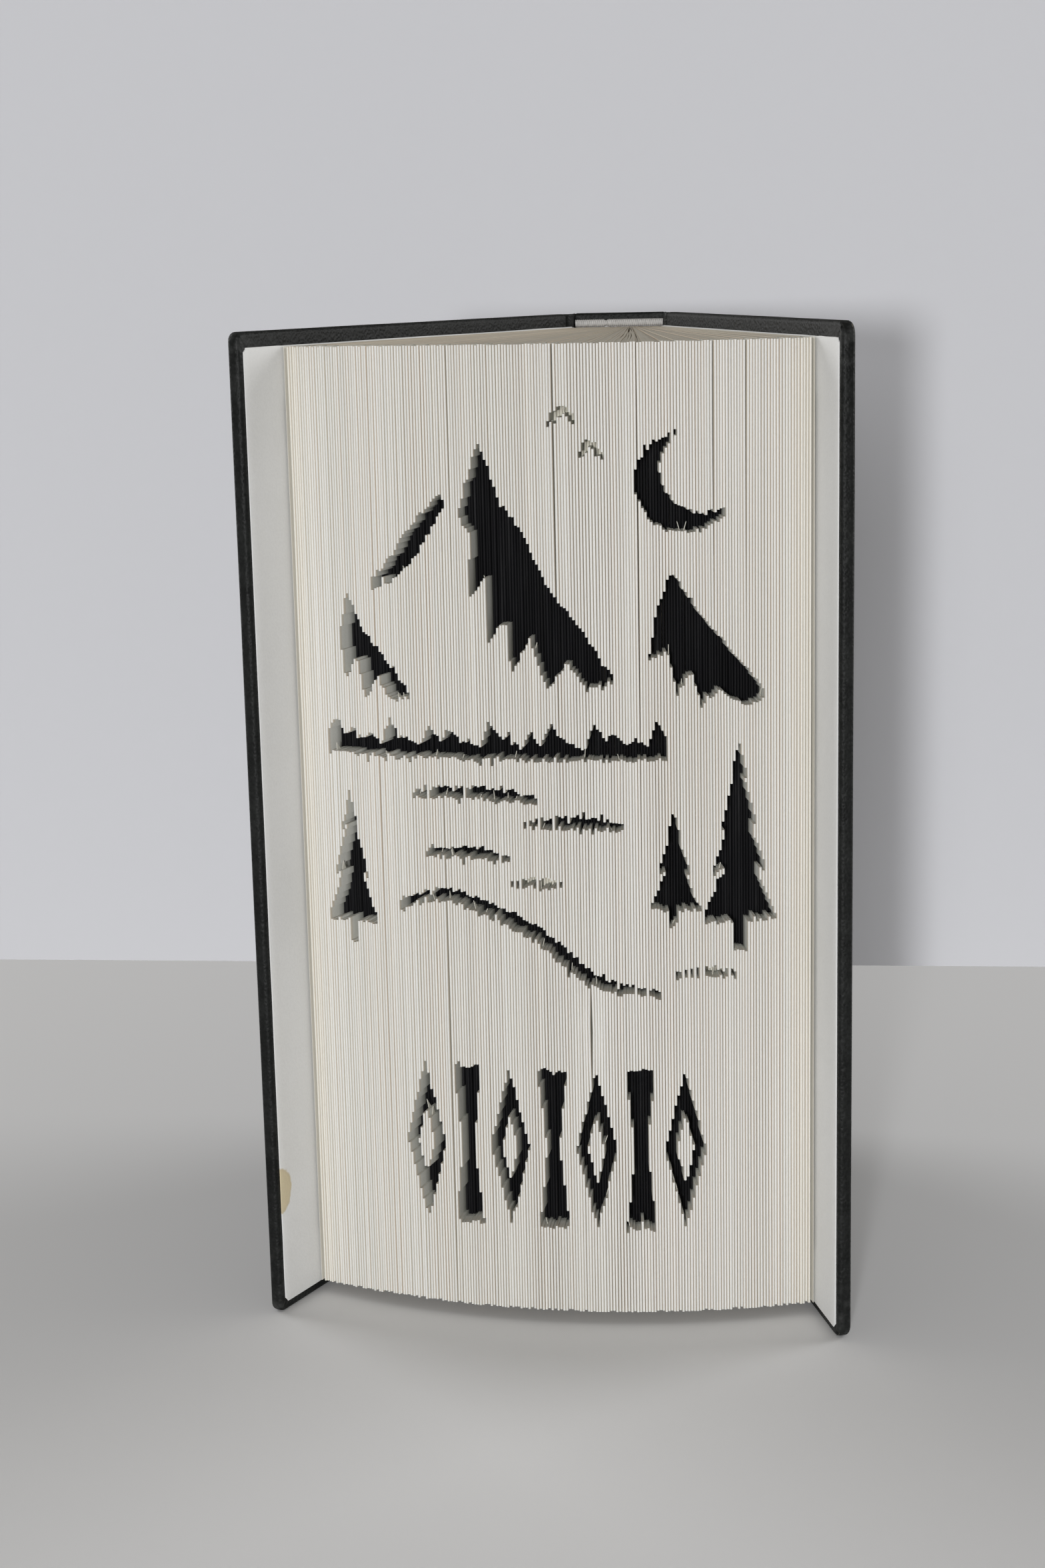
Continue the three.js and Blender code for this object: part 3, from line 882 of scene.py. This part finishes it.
def rounded_panel_ring(x0, x1, z0, z1, inset, back_radius, fore_radius, wave, seed):
    """A ring of points round a panel, with its corners rounded, as (x, z)."""
    corners = [
        (x0, z0, 1, 1, back_radius, math.pi), (x1, z0, -1, 1, fore_radius, 1.5 * math.pi),
        (x1, z1, -1, -1, fore_radius, 0), (x0, z1, 1, -1, back_radius, 0.5 * math.pi),
    ]
    arcs = []
    for x, z, inward_x, inward_z, radius, start in corners:
        r = max(radius - inset, SMALLEST_RADIUS)
        centre_x = x + inward_x * (inset + r)
        centre_z = z + inward_z * (inset + r)
        turns = [start + t * math.pi / (2 * CORNER_STEPS) for t in range(CORNER_STEPS + 1)]
        arcs.append([(centre_x + r * math.cos(turn), centre_z + r * math.sin(turn)) for turn in turns])
    ring = []
    for points, following in zip(arcs, arcs[1:] + arcs[:1]):
        first = Vector(points[-1])
        last = Vector(following[0])
        ring += points + [tuple(first.lerp(last, t / SIDE_STEPS)) for t in range(1, SIDE_STEPS)]
    middle = Vector(((x0 + x1) / 2, (z0 + z1) / 2))
    waved = []
    for x, z in ring:
        inward = (middle - Vector((x, z))).normalized()
        pull = inward * wave * (1 + wobble(x * 0.045 + seed, z * 0.045, seed))
        waved.append((x + pull.x, z + pull.y))
    return waved


def slab_rings(thickness, edge_radius):
    """Insets and heights of the rings that round the edges of a slab, from inner to outer face."""
    steps = 5
    turns = [math.pi / 2 * i / steps for i in range(steps + 1)]
    inner = [(edge_radius * (1 - math.sin(turn)), edge_radius * (1 - math.cos(turn))) for turn in turns]
    outer = [(inset, thickness - height) for inset, height in reversed(inner)]
    wide = [(18, 0), (5, 0)]
    return [*wide, *inner, *outer, *[(inset, thickness) for inset, _ in reversed(wide)]]


def edge_wear(inset, x, z, corners):
    """1 at a rubbed edge and more at a corner, 0 on the flat of the cloth."""
    edge = max(0, 1 - inset / 2.5) * (0.08 + 0.3 * wobble(x * 0.08, z * 0.08, 2.2))
    near = min((Vector((x, z)) - Vector(corner)).length for corner in corners)
    corner = 1.3 * max(0, 1 - near / 7)
    return max(0, min(1.6, edge + corner))


def build_cover(side, name):
    """The board in its cloth: rounded edges, rubbed corners and folds where the cloth is turned in."""
    builder = Builder()
    corners = [(COVER_REACH, 0), (COVER_REACH, CASE_HEIGHT)]
    fore_radius = 3.0 if side > 0 else 1.9
    rings, tints = [], []
    for inset, out in slab_rings(COVER_THICKNESS, 0.95):
        flat = rounded_panel_ring(
            GROOVE_REACH, COVER_REACH, 0, CASE_HEIGHT, inset, 0.9, fore_radius, 0.05, side * 3.1
        )
        ring, tint = [], []
        for along, z in flat:
            dent = 0.06 * wobble(along * 0.03, z * 0.03, side * 5) * (0.2 < out < COVER_THICKNESS)
            point = beside_cover(along, min(max(out + dent, 0), COVER_THICKNESS), side)
            ring.append((point.x, point.y, z))
            tint.append(grey(edge_wear(inset, along, z, corners)))
        rings.append(ring)
        tints.append(tint)
    builder.stack(rings, tints)
    add_corner_folds(builder, side)
    cover = builder.finish(f"{name}_case_cloth", CLOTH, mirrored=side > 0)
    round_edges_smoothly(cover, 60)
    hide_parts(f"{name}_cover_cloth")
    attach(cover, f"{name}_cover")


def add_corner_folds(builder, side):
    """The mitred fold of the cloth at each fore corner, standing a little proud."""
    for z, up in ((0, 1), (CASE_HEIGHT, -1)):
        start = Vector((COVER_REACH - 0.9, z + up * 0.9))
        end = Vector((COVER_REACH - 5.5, z + up * 5.5))
        aside = Vector((0.55, 0.55 * up))
        rings = []
        for share, width, height in ((0, 0.3, 0.02), (0.25, 0.8, 0.12), (0.7, 1, 0.14), (1, 0.6, 0.02)):
            middle = start.lerp(end, share)
            ring = []
            for across, lift in ((-1, 0.02), (-0.6, -0.7), (0, -1), (0.6, -0.7), (1, 0.02)):
                place = middle + aside * across * width
                point = beside_cover(place.x, height * lift if lift < 0 else 0.03, side)
                ring.append((point.x, point.y, place.y))
            rings.append(ring)
        builder.stack(rings, [grey(0.7)] * 4)


TURN_IN = 15  # of the cloth, over the edges of the board
PASTEDOWN_COLUMNS = (
    0.6, 2, 5, 10, 18, 30, 48, 70, 90, 108, 118, 123, 125.5, 126.8, 128, 129.2, 130.5,
    133, 137, 139.5, 140.6, PASTEDOWN_FORE,
)


def pastedown_rows():
    """Heights up a pastedown, close together where the turned-in cloth ends under it."""
    foot = [0, 1, 3, 6, 9, 11, 12, 13, 14, 16, 20]
    middle = [20 + 10 * i for i in range(1, 17)]
    head = [CASE_HEIGHT - height - 5.4 for height in reversed(foot[:-1])]
    heights = [*foot, *middle, *head]
    return [PASTEDOWN_FOOT + (h / heights[-1]) * (PASTEDOWN_HEAD - PASTEDOWN_FOOT) for h in heights]


def step_up(value):
    """0 before a soft step, 1 past it."""
    softness = 0.3
    return 1 / (1 + math.exp(-value / softness))


def pastedown_point(i, j, rows, lift, side):
    """A point of the face of the sheet that shows, or with no lift of the face that is glued."""
    column = PASTEDOWN_COLUMNS[i]
    height = rows[j]
    at_fore = i == len(PASTEDOWN_COLUMNS) - 1
    at_foot = j == 0
    at_head = j == len(rows) - 1
    ragged_foot = 0.08 * at_foot * wobble(column * 0.3, 2)
    ragged_head = 0.12 * (1 + wobble(column * 0.35, side * 4, 9)) * at_head
    ragged_fore = 0.1 * (1 + wobble(height * 0.15, side * 6)) * at_fore
    along = column - ragged_fore
    z = height - (ragged_head - ragged_foot)
    if at_fore and (at_foot or at_head):
        along -= 0.6
        z += 0.4 if at_foot else -0.4
    over = max(
        step_up(column - COVER_REACH + TURN_IN),
        step_up(TURN_IN - height),
        step_up(height - CASE_HEIGHT + TURN_IN),
    )
    swell = 0.13 * over + 0.04 * wobble(column * 0.06, height * 0.05, side * 2)
    edge = i == 0 or at_fore or at_foot or at_head
    out = -(0.2 + max(0, min(0.2, 0.05 + swell - 0.1 * edge))) * lift + 0.01
    point = beside_cover(along, out, side)
    return (point.x, point.y, z)


def add_sheet(builder, faces, width):
    """The two faces of a sheet, given as row after row of points, and the rim between them."""
    starts = [builder.add(points) for points in faces]
    last = len(faces[0]) - width  # where the last row starts
    for start, turned in zip(starts, (True, False)):
        for row in range(start, start + last, width):
            for a in range(row, row + width - 1):
                quad = [a, a + 1, a + 1 + width, a + width]
                builder.face(quad[::-1] if turned else quad)
    rim = [*range(width), *range(2 * width - 1, last + width, width)]
    rim += [*range(last + width - 2, last - 1, -1), *range(last - width, 0, -width)]
    for a, b in zip(rim, rim[1:] + rim[:1]):
        builder.face([starts[0] + a, starts[0] + b, starts[1] + b, starts[1] + a])


def build_pastedown(side, name):
    """The sheet glued over the board and the turned-in cloth, whose edges show through it."""
    rows = pastedown_rows()
    width = len(PASTEDOWN_COLUMNS)
    places = [(i, j) for j in range(len(rows)) for i in range(width)]
    faces = [[pastedown_point(i, j, rows, lift, side) for i, j in places] for lift in (1, 0)]
    builder = Builder()
    add_sheet(builder, faces, width)
    material = STAINED_ENDPAPER if side < 0 else ENDPAPER
    sheet = builder.finish(f"{name}_pasted_sheet", material, mirrored=side < 0)
    round_edges_smoothly(sheet, 50)
    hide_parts(f"{name}_pastedown")
    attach(sheet, f"{name}_cover")


# Spine, joints and bands


def build_spine():
    """The cloth over the spine inlay, folded over at head and tail."""
    builder = Builder()
    corners = [(x, z) for z in (0, CASE_HEIGHT) for x in (-SPINE_HALF, SPINE_HALF)]
    rings, tints = [], []
    thickness = SPINE_BACK - SPINE_INNER
    for inset, out in slab_rings(thickness, 0.7):
        inset = min(inset, 8)
        flat = rounded_panel_ring(-SPINE_HALF, SPINE_HALF, 0, CASE_HEIGHT, inset, 0.9, 0.9, 0.04, 7.7)
        ring, tint = [], []
        for x, z in flat:
            slump = 0.12 * (1 + wobble(x * 0.3, z * 0.05, 4)) * (out > 0.4)
            ring.append((x, SPINE_INNER + min(max(out - slump, 0), thickness), z))
            tint.append(grey(edge_wear(inset, x, z, corners) * 0.8))
        rings.append(ring)
        tints.append(tint)
    builder.stack(rings, tints)
    spine = builder.finish("spine_case_cloth", CLOTH, mirrored=True)
    round_edges_smoothly(spine, 60)
    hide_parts("spine_cloth")
    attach(spine, "block")


JOINT_CLOTH_THICKNESS = 0.34


def build_joint_cloth(side, name):
    """The cloth from the spine through the groove and up onto the cover."""
    beside_spine = [(11.72, 2.1), (11.74, 0.9), (11.72, -0.9), (11.78, -2.2)]
    up_the_cover = [(0.7, 0.2), (1.8, 0.3), (2.45, 1.0), (2.7, 2.1), (3.5, 2.82)]
    path = points_2d(beside_spine) + [beside_cover(along, out) for along, out in up_the_cover]
    outline = ribbon(catmull_rom(path, 4), lambda t: JOINT_CLOTH_THICKNESS)
    middle = [(a + b) / 2 for a, b in zip(outline, outline[::-1])]
    levels = [0.1, 0.25, 0.6, 2, *[8 * i for i in range(1, 27)], 214, 215.4, 215.75, 215.9]
    rings = []
    for z in levels:
        to_end = min(z, CASE_HEIGHT - z)
        shrink = 1 - 0.5 * max(0, 1 - to_end / 0.5)
        ring = []
        for point, centre in zip(outline, middle):
            wave = 0.05 * wobble(z * 0.06, point.y * 0.4, side * 3)
            place = centre + (point - centre) * shrink
            ring.append((side * (place.x + wave), place.y, z))
        rings.append(ring)
    builder = Builder()
    builder.stack(rings, [grey(0.25)] * len(rings))
    strip = builder.finish(f"{name}_joint_cloth", CLOTH, mirrored=side > 0)
    face_outward(strip)
    round_edges_smoothly(strip, 60)
    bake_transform(strip)


ENDPAPER_FOLD_THICKNESS = 0.12


def build_endpaper_fold(side, name):
    """The fold of an endpaper, from its loose sheet to its pasted one."""
    plan = [(2.56, FLYLEAF_OUT), (1.6, -0.92), (0.75, -0.8), (0.28, -0.52), (0.27, -0.24), (0.55, -0.1)]
    path = [beside_cover(along, out) for along, out in plan]
    outline = ribbon(catmull_rom(path, 8), lambda t: ENDPAPER_FOLD_THICKNESS)
    rings = [[(side * point.x, point.y, z) for point in outline] for z in page_heights(30)]
    builder = Builder()
    builder.stack(rings, [(1.01, 0.985, 0.93)] * len(rings))
    fold = builder.finish(f"{name}_endpaper_fold", ENDPAPER)
    face_outward(fold)
    round_edges_smoothly(fold, 60)
    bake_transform(fold)


BAND_THREADS = 44
STEPS_PER_THREAD = 5
BAND_SIDES = 14
BAND_BACK = 0.8  # of the band, behind the spine face of the pages
TAPE_HALF = 11.25
TAPE_TALL = 11.5


def build_band(end, name):
    """Thread whipped over a core, with painted shade in the grooves between its turns, on a tape behind
    the pages.
    """
    builder = Builder()
    steps = BAND_THREADS * STEPS_PER_THREAD
    edge = HEAD if end > 0 else FOOT
    centre_y = BAND_BACK - BAND_RADIUS
    centre_z = edge + end * BAND_RADIUS
    rings, tints = [], []
    for i in range(steps + 1):
        x = -SHOULDER_HALF + 0.05 + (2 * SHOULDER_HALF - 0.1) * i / steps
        pinch = 1 - 0.3 * math.exp(-(((x + 3.4) / 0.35) ** 2))
        ring, tint = [], []
        for k in range(BAND_SIDES):
            turn = 2 * math.pi * k / BAND_SIDES
            phase = i / STEPS_PER_THREAD * math.pi + turn * 0.9 * end
            thread = abs(math.sin(phase))
            radius = (0.80 + 0.13 * thread) * pinch
            ring.append((x, centre_y + radius * math.cos(turn), centre_z + radius * math.sin(turn)))
            # painted shade: the tint is darkest in the grooves between the turns of thread and palest
            # on their crowns
            shade = 0.50 + 0.50 * thread
            tint.append((shade, shade * 0.99, shade * 0.97))
        rings.append(ring)
        tints.append(tint)
    builder.stack(rings, tints)
    tape_section = ((-TAPE_HALF, 0.57), (TAPE_HALF, 0.57), (TAPE_HALF, 0.78), (-TAPE_HALF, 0.78))
    levels = sorted((edge - end * TAPE_TALL, edge + end * BAND_RADIUS))
    tape = [[(x, y, z) for x, y in tape_section] for z in levels]
    builder.stack(tape, [grey(0.9)] * 2)
    band = builder.finish(f"whipped_{name}", BAND)
    face_outward(band)
    round_edges_smoothly(band, 50)
    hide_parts(name)
    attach(band, "block")


def dress_inner_nodes():
    """Materials of the pieces that keep their own solids."""
    board = board_material()
    materials = {"board": board, "inlay": board, "mull": mull_material(), "liner": liner_material()}
    for name, node in frame["nodes"].items():
        for word, material in materials.items():
            if word in name:
                node.data.materials.clear()
                node.data.materials.append(material)


# Stage, camera and lights

CAMERA_PLACE = (80.9, -636.0, 227.2)
LOOK_PLAN = Vector((-0.1685, 0.9857)).normalized()
PITCH_DOWN = 0.2055
ROLL = -0.0228
SENSOR = 36
LENS = 3700 / 2352 * SENSOR
WALL_BEHIND = 152  # behind the spine face of the pages, clear of the covers when they fold right back
WALL_TURN = math.radians(3.5)
WALL_TALL = 1500
FLOOR_HALF = 1800
FLOOR_AHEAD = 800
LIT_PLACE = (0, -70, 110)  # near the middle of the book


def build_camera():
    right = Vector((LOOK_PLAN.y, -LOOK_PLAN.x, 0))
    level = math.cos(PITCH_DOWN)
    ahead = Vector((LOOK_PLAN.x * level, LOOK_PLAN.y * level, -math.sin(PITCH_DOWN)))
    up = right.cross(ahead)
    tilted_right = right * math.cos(ROLL) + up * math.sin(ROLL)
    tilted_up = up * math.cos(ROLL) - right * math.sin(ROLL)
    turn = Matrix((tilted_right, tilted_up, -ahead)).transposed()
    data = bpy.data.cameras.new("camera")
    data.lens = LENS
    data.sensor_width = SENSOR
    camera = bpy.data.objects.new("camera", data)
    camera.matrix_world = Matrix.Translation(to_row(*CAMERA_PLACE)) @ turn.to_4x4()
    bpy.context.scene.collection.objects.link(camera)
    bpy.context.scene.camera = camera


def add_stage_sheet(name, corners, material):
    builder = Builder()
    builder.add(corners)
    builder.face([0, 1, 2, 3])
    builder.finish(name, material)


def build_stage():
    front = [(-FLOOR_HALF, -FLOOR_AHEAD, 0), (FLOOR_HALF, -FLOOR_AHEAD, 0)]
    rear = [(FLOOR_HALF, FLOOR_HALF, 0), (-FLOOR_HALF, FLOOR_HALF, 0)]
    add_stage_sheet("floor", front + rear, floor_material())
    along = Vector((math.cos(WALL_TURN), math.sin(WALL_TURN)))
    left = Vector((0, WALL_BEHIND)) - along * FLOOR_HALF
    right = Vector((0, WALL_BEHIND)) + along * FLOOR_HALF
    foot = [(*left, 0), (*right, 0)]
    head = [(*right, WALL_TALL), (*left, WALL_TALL)]
    add_stage_sheet("wall", foot + head, wall_material())


def add_lamp(name, place, size, watts, colour):
    data = bpy.data.lights.new(name, "AREA")
    data.shape = "DISK"
    data.size = size
    data.energy = watts
    data.color = colour
    lamp = bpy.data.objects.new(name, data)
    lamp.location = to_row(*place)
    aim = to_row(*LIT_PLACE) - lamp.location
    lamp.rotation_euler = aim.to_track_quat("-Z", "Y").to_euler()
    bpy.context.scene.collection.objects.link(lamp)


def build_lights():
    """A small key and a wider fill far in front, and a broad soft lamp behind on each side."""
    add_lamp("key", (-17, -2300, 264), size=0.13, watts=20.5, colour=(0.985, 0.99, 1))
    add_lamp("fill", (65, -2300, 593), size=0.46, watts=11.5, colour=(0.99, 0.99, 1))
    for side, _ in SIDES:
        add_lamp("rim", (1350 * side, 550, 620), size=0.9, watts=9.5, colour=(1, 1, 1))


def build_world():
    """A soft warm light from all round; where the camera looks past the floor it sees pale card."""
    world = bpy.data.worlds.new("room")
    world.use_nodes = True
    tree = world.node_tree
    light = tree.nodes["Background"]
    light.inputs["Color"].default_value = (1, 0.97, 0.92, 1)
    light.inputs["Strength"].default_value = 0.19
    seen = tree.nodes.new("ShaderNodeBackground")
    seen.inputs["Color"].default_value = (0.56, 0.565, 0.58, 1)
    mix = tree.nodes.new("ShaderNodeMixShader")
    path = tree.nodes.new("ShaderNodeLightPath")
    tree.links.new(path.outputs["Is Camera Ray"], mix.inputs["Fac"])
    tree.links.new(light.outputs["Background"], mix.inputs[1])
    tree.links.new(seen.outputs["Background"], mix.inputs[2])
    tree.links.new(mix.outputs["Shader"], tree.nodes["World Output"].inputs["Surface"])
    bpy.context.scene.world = world


def main():
    build_pages()
    build_spine()
    for side, name in SIDES:
        build_cover(side, name)
        build_pastedown(side, name)
        build_flyleaf(side, name)
        build_joint_cloth(side, name)
        build_endpaper_fold(side, name)
    build_band(1, "headband")
    build_band(-1, "tailband")
    dress_inner_nodes()
    build_camera()
    build_stage()
    build_lights()
    build_world()
    bpy.context.scene.view_settings.view_transform = "Standard"


main()
